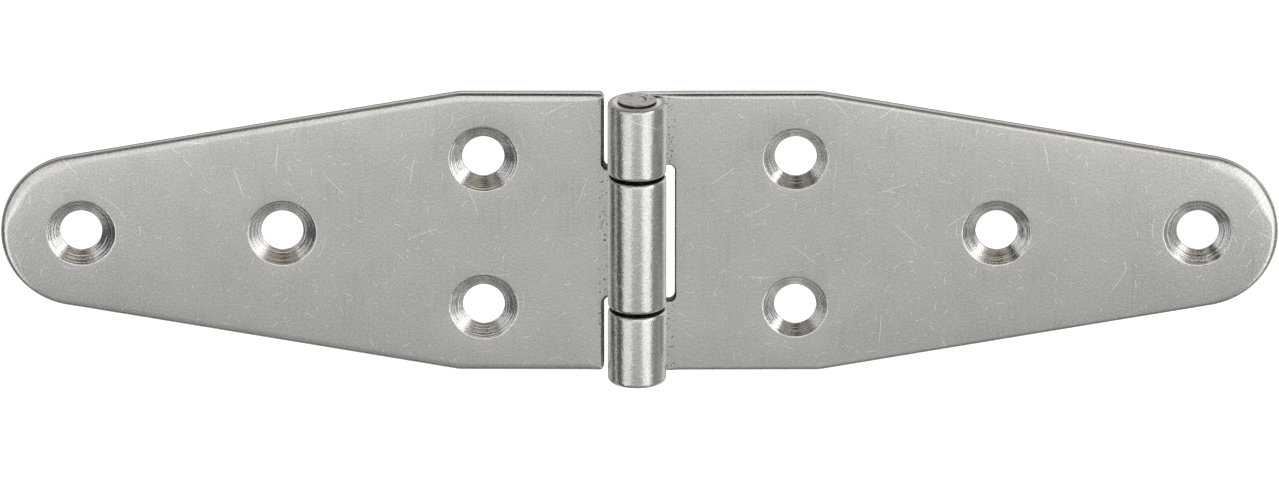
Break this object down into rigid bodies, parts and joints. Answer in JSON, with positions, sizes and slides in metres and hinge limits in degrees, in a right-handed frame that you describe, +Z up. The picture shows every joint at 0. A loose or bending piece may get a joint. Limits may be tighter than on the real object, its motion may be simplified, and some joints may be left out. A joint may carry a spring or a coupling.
{
  "type": "strap hinge",
  "caption": "Stainless steel strap hinge with two tapered leaves, rolled knuckles and a riveted pin, for gates, doors and box lids.",
  "frame": {"origin": "the middle of the pin's axis, halfway up the knuckles", "axes": "+Z up along the pin; +X towards the right leaf's tip; +Y out of the flat backs of the leaves; the knuckles and the countersinks face -Y"},
  "size_m": [0.1523, 0.0075, 0.036],
  "materials": {
    "leaf_steel": "satin tumbled stainless sheet, with fine random scratches",
    "pin_steel": "plain drawn stainless wire, with hammered heads"
  },
  "bodies": {
    "fixed_leaf": {"right_leaf": "leaf_steel", "hinge_pin": "pin_steel"},
    "swinging_leaf": {"left_leaf": "leaf_steel"}
  },
  "joints": [
    {"name": "leaf_swing", "type": "hinge", "parent": "fixed_leaf", "child": "swinging_leaf", "pos_m": [0, 0, 0], "axis": [0, 0, 1], "range_deg": [-87, 183]}
  ]
}
